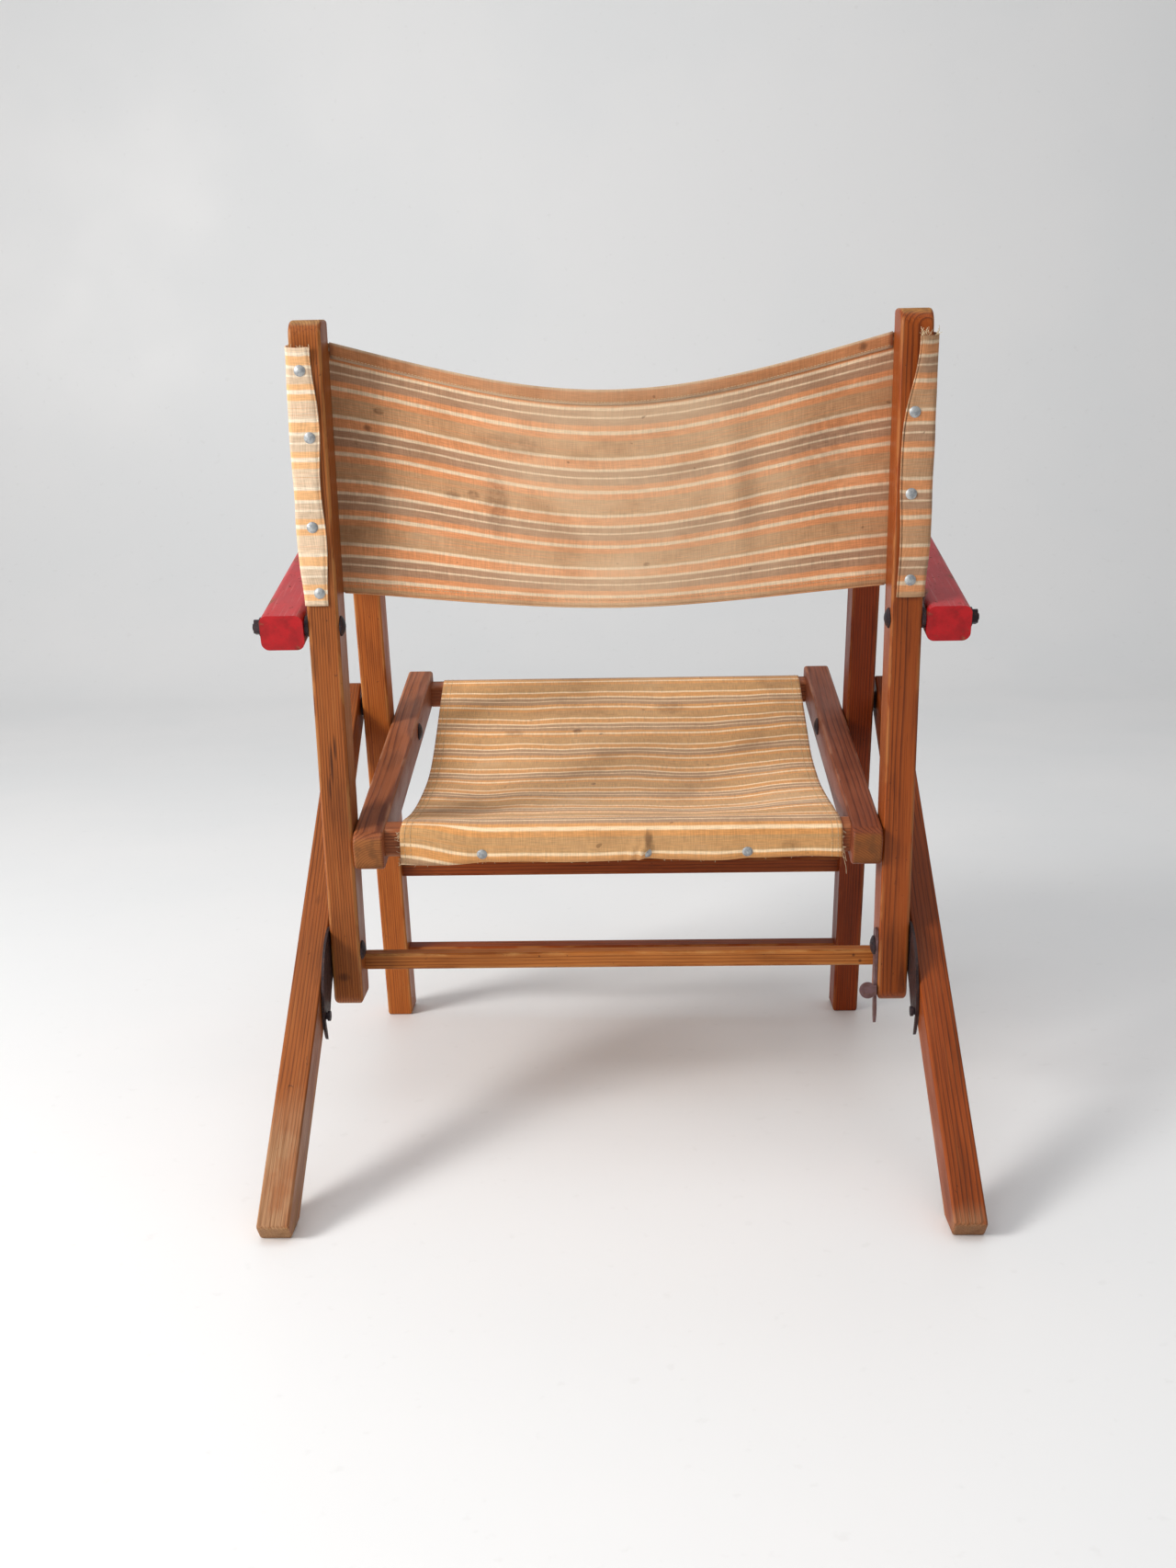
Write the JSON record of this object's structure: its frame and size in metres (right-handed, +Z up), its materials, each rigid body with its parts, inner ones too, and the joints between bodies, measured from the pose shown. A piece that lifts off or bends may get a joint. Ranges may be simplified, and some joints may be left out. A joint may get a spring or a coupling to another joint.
{
  "type": "folding deck chair",
  "caption": "Folding wooden deck chair with straight posts, crossed legs, armrests, striped canvas back and seat slings, and steel hooks that lock it open.",
  "frame": {"origin": "on the floor, under the middle of the overall box", "axes": "+Z up, +X to the sitter's left, the sitter faces -Y and the back is towards +Y"},
  "size_m": [0.6636, 0.6475, 0.7777],
  "materials": {
    "pine": "oiled softwood, straight dark grain, worn edges",
    "dark_pine": "oiled softwood, darker and redder, worn top edges",
    "red_paint": "worn red gloss paint over wood",
    "canvas": "woven cotton with orange, cream and tan stripes",
    "zinc": "dull galvanised",
    "dark_steel": "dark, slightly rusty",
    "hook_steel": "dark brown, rusty"
  },
  "bodies": {
    "front_frame": {"front_leg_left": "pine", "front_leg_right": "pine", "front_stretcher_upper": "pine", "front_stretcher_lower": "pine", "seat_front_bolts": "dark_steel", "rear_leg_bolts": "dark_steel", "rear_leg_spacers": "dark_steel", "arm_front_bolts": "dark_steel", "arm_front_spacers": "dark_steel", "arm_front_washers": "dark_steel", "arm_front_nuts": "dark_steel"},
    "seat": {"seat_rail_left": "dark_pine", "seat_rail_right": "dark_pine", "seat_bar_front": "dark_pine", "seat_bar_rear": "dark_pine", "seat_sling": "canvas", "seat_tacks": "zinc", "seat_front_tacks": "zinc"},
    "back": {"back_post_left": "pine", "back_post_right": "pine", "post_stretcher": "pine", "back_sling": "canvas", "back_tacks": "zinc", "seat_rear_screws": "dark_steel", "arm_rear_bolts": "dark_steel", "arm_rear_spacers": "dark_steel", "arm_rear_washers": "dark_steel", "arm_rear_nuts": "dark_steel", "hook_bolt_left": "dark_steel", "hook_bolt_right": "dark_steel"},
    "armrest_left": {"armrest_left": "red_paint"},
    "armrest_right": {"armrest_right": "red_paint"},
    "rear_leg_left": {"rear_leg_left": "pine", "hook_pin_left": "dark_steel"},
    "rear_leg_right": {"rear_leg_right": "pine", "hook_pin_right": "dark_steel"},
    "hook_left": {"hook_plate_left": "hook_steel"},
    "hook_right": {"hook_plate_right": "hook_steel"},
    "thumb_lever": {"thumb_lever_right": "hook_steel"}
  },
  "joints": [
    {"name": "fold", "type": "hinge", "parent": "front_frame", "child": "seat", "pos_m": [0, -0.1709, 0.3546], "axis": [1, 0, 0], "range_deg": [0, 81]},
    {"name": "back_hinge", "type": "hinge", "parent": "seat", "child": "back", "pos_m": [0, 0.07889, 0.29417], "axis": [1, 0, 0], "range_deg": [-81, 0]},
    {"name": "armrest_left_hinge", "type": "hinge", "parent": "front_frame", "child": "armrest_left", "pos_m": [0.3033, -0.13764, 0.56701], "axis": [1, 0, 0], "range_deg": [0, 81]},
    {"name": "rear_leg_left_hinge", "type": "hinge", "parent": "front_frame", "child": "rear_leg_left", "pos_m": [0.2976, -0.16989, 0.384], "axis": [-1, 0, 0], "range_deg": [0, 58]},
    {"name": "hook_left_swing", "type": "hinge", "parent": "back", "child": "hook_left", "pos_m": [0.2813, 0.0886, 0.187], "axis": [1, 0, 0], "range_deg": [0, 105]},
    {"name": "armrest_right_hinge", "type": "hinge", "parent": "front_frame", "child": "armrest_right", "pos_m": [-0.3033, -0.13764, 0.56701], "axis": [1, 0, 0], "range_deg": [0, 81]},
    {"name": "rear_leg_right_hinge", "type": "hinge", "parent": "front_frame", "child": "rear_leg_right", "pos_m": [-0.2976, -0.16989, 0.384], "axis": [-1, 0, 0], "range_deg": [0, 58]},
    {"name": "hook_right_swing", "type": "hinge", "parent": "back", "child": "hook_right", "pos_m": [-0.2813, 0.0886, 0.187], "axis": [1, 0, 0], "range_deg": [0, 105]},
    {"name": "thumb_lever_swing", "type": "hinge", "parent": "back", "child": "thumb_lever", "pos_m": [-0.2485, 0.0886, 0.187], "axis": [1, 0, 0], "range_deg": [0, 50]}
  ],
  "couplings": [
    {"joint": "back_hinge", "follows": "fold", "ratio": -1},
    {"joint": "armrest_left_hinge", "follows": "fold", "ratio": 1},
    {"joint": "rear_leg_left_hinge", "follows": "fold", "ratio": 0.715},
    {"joint": "armrest_right_hinge", "follows": "fold", "ratio": 1},
    {"joint": "rear_leg_right_hinge", "follows": "fold", "ratio": 0.715}
  ]
}
